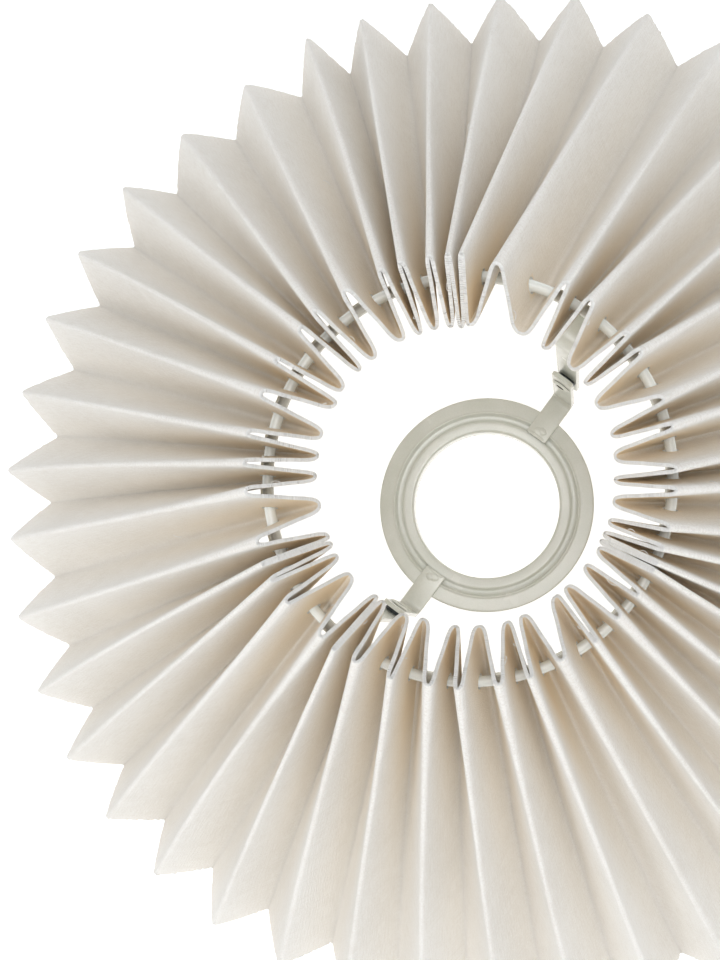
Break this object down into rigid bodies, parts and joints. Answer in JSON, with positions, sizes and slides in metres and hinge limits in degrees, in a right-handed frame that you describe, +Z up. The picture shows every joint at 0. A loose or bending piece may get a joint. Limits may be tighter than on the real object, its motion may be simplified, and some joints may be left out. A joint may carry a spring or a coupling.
{
  "type": "lamp shade",
  "caption": "Wide cone lamp shade of pleated stiffened cloth on a wire frame, with a tilting ring that a lampholder clamps in.",
  "frame": {"origin": "centre of the circle that the cover's wide end stands on", "axes": "+Z up along the cone's axis towards the narrow end; X is the line through the two pivots that the carrier tilts about"},
  "size_m": [0.3156, 0.3164, 0.1278],
  "materials": {
    "cover_cloth": "off-white plain-weave cotton laminated on a stiff film, matt, with creased folds and raw cut edges",
    "painted_steel": "pale grey-green enamel, satin, pooled a little in the corners",
    "rivet_steel": "dull plated steel",
    "washer_black": "matt blue-black fibre"
  },
  "bodies": {
    "shade": {"pleated_cover": "cover_cloth", "threading_ring": "painted_steel", "frame_ring": "painted_steel", "hanger_left": "painted_steel", "hanger_right": "painted_steel", "pivot_rivet_left": "rivet_steel", "pivot_rivet_right": "rivet_steel", "friction_washer_left": "washer_black", "friction_washer_right": "washer_black"},
    "carrier": {"carrier_arm_left": "painted_steel", "carrier_arm_right": "painted_steel", "carrier_ring": "painted_steel"}
  },
  "joints": [
    {"name": "carrier_tilt", "type": "hinge", "parent": "shade", "child": "carrier", "pos_m": [0, 0, 0.05763], "axis": [1, 0, 0], "range_deg": [-35, 35]}
  ]
}
